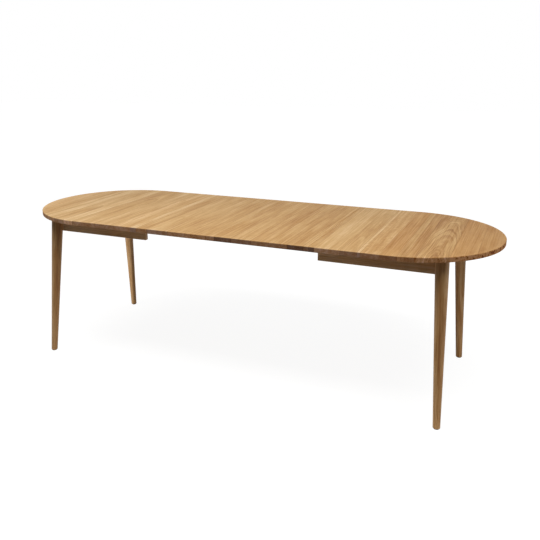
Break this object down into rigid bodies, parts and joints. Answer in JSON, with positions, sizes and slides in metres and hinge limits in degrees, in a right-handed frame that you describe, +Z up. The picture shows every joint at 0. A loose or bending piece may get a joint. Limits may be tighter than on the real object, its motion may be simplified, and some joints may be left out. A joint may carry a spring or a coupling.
{
  "type": "extension table",
  "caption": "Long oak dining table with rounded ends that draws apart on wooden slides to take loose leaves, on round tapered legs that splay outwards.",
  "frame": {"origin": "floor level under the middle of the table", "axes": "+X along the table towards the right end, +Y towards the back, +Z up"},
  "size_m": [2.3598, 0.85, 0.74],
  "materials": {
    "oak_top": "oiled oak boards, satin",
    "oak_leg": "oiled turned oak, satin",
    "oak_apron": "oiled oak, satin",
    "beech": "bare waxed beech",
    "zinc_steel": "zinc plated",
    "nylon": "moulded brown nylon"
  },
  "bodies": {
    "middle_slides": {"back_middle_rail": "beech", "front_middle_rail": "beech", "stop_plates": "zinc_steel", "stop_screws": "zinc_steel", "tie_board": "beech", "tie_screws": "zinc_steel"},
    "left_end": {"left_back_apron": "oak_apron", "left_back_corner_block": "beech", "left_back_glide": "nylon", "left_back_leg": "oak_leg", "left_back_rail": "beech", "left_block_screws": "zinc_steel", "left_clip_screws": "zinc_steel", "left_cross_rail": "beech", "left_end_apron": "oak_apron", "left_end_top": "oak_top", "left_front_apron": "oak_apron", "left_front_corner_block": "beech", "left_front_glide": "nylon", "left_front_leg": "oak_leg", "left_front_rail": "beech", "left_leaf_rests": "zinc_steel", "left_leg_bolts": "zinc_steel", "left_leg_inserts": "zinc_steel", "left_leg_washers": "zinc_steel", "left_rail_screws": "zinc_steel", "left_rest_screws": "zinc_steel", "left_slide_keys": "beech", "left_top_clips": "zinc_steel"},
    "right_end": {"right_back_apron": "oak_apron", "right_back_corner_block": "beech", "right_back_glide": "nylon", "right_back_leg": "oak_leg", "right_back_rail": "beech", "right_block_screws": "zinc_steel", "right_clip_screws": "zinc_steel", "right_cross_rail": "beech", "right_end_apron": "oak_apron", "right_end_top": "oak_top", "right_front_apron": "oak_apron", "right_front_corner_block": "beech", "right_front_glide": "nylon", "right_front_leg": "oak_leg", "right_front_rail": "beech", "right_leaf_rests": "zinc_steel", "right_leg_bolts": "zinc_steel", "right_leg_inserts": "zinc_steel", "right_leg_washers": "zinc_steel", "right_rail_screws": "zinc_steel", "right_rest_screws": "zinc_steel", "right_slide_keys": "beech", "right_top_clips": "zinc_steel"},
    "left_leaf": {"left_batten_screws": "zinc_steel", "left_leaf": "oak_top", "left_leaf_battens": "beech"},
    "right_leaf": {"right_batten_screws": "zinc_steel", "right_leaf": "oak_top", "right_leaf_battens": "beech"}
  },
  "joints": [
    {"name": "left_end_draw", "type": "slide", "parent": "middle_slides", "child": "left_end", "axis": [-1, 0, 0], "range_m": [0, 0.06]},
    {"name": "right_end_draw", "type": "slide", "parent": "middle_slides", "child": "right_end", "axis": [1, 0, 0], "range_m": [0, 0.06]},
    {"name": "left_leaf_lift", "type": "slide", "parent": "middle_slides", "child": "left_leaf", "axis": [0, 0, 1], "range_m": [0, 0.3]},
    {"name": "right_leaf_lift", "type": "slide", "parent": "middle_slides", "child": "right_leaf", "axis": [0, 0, 1], "range_m": [0, 0.3]}
  ]
}
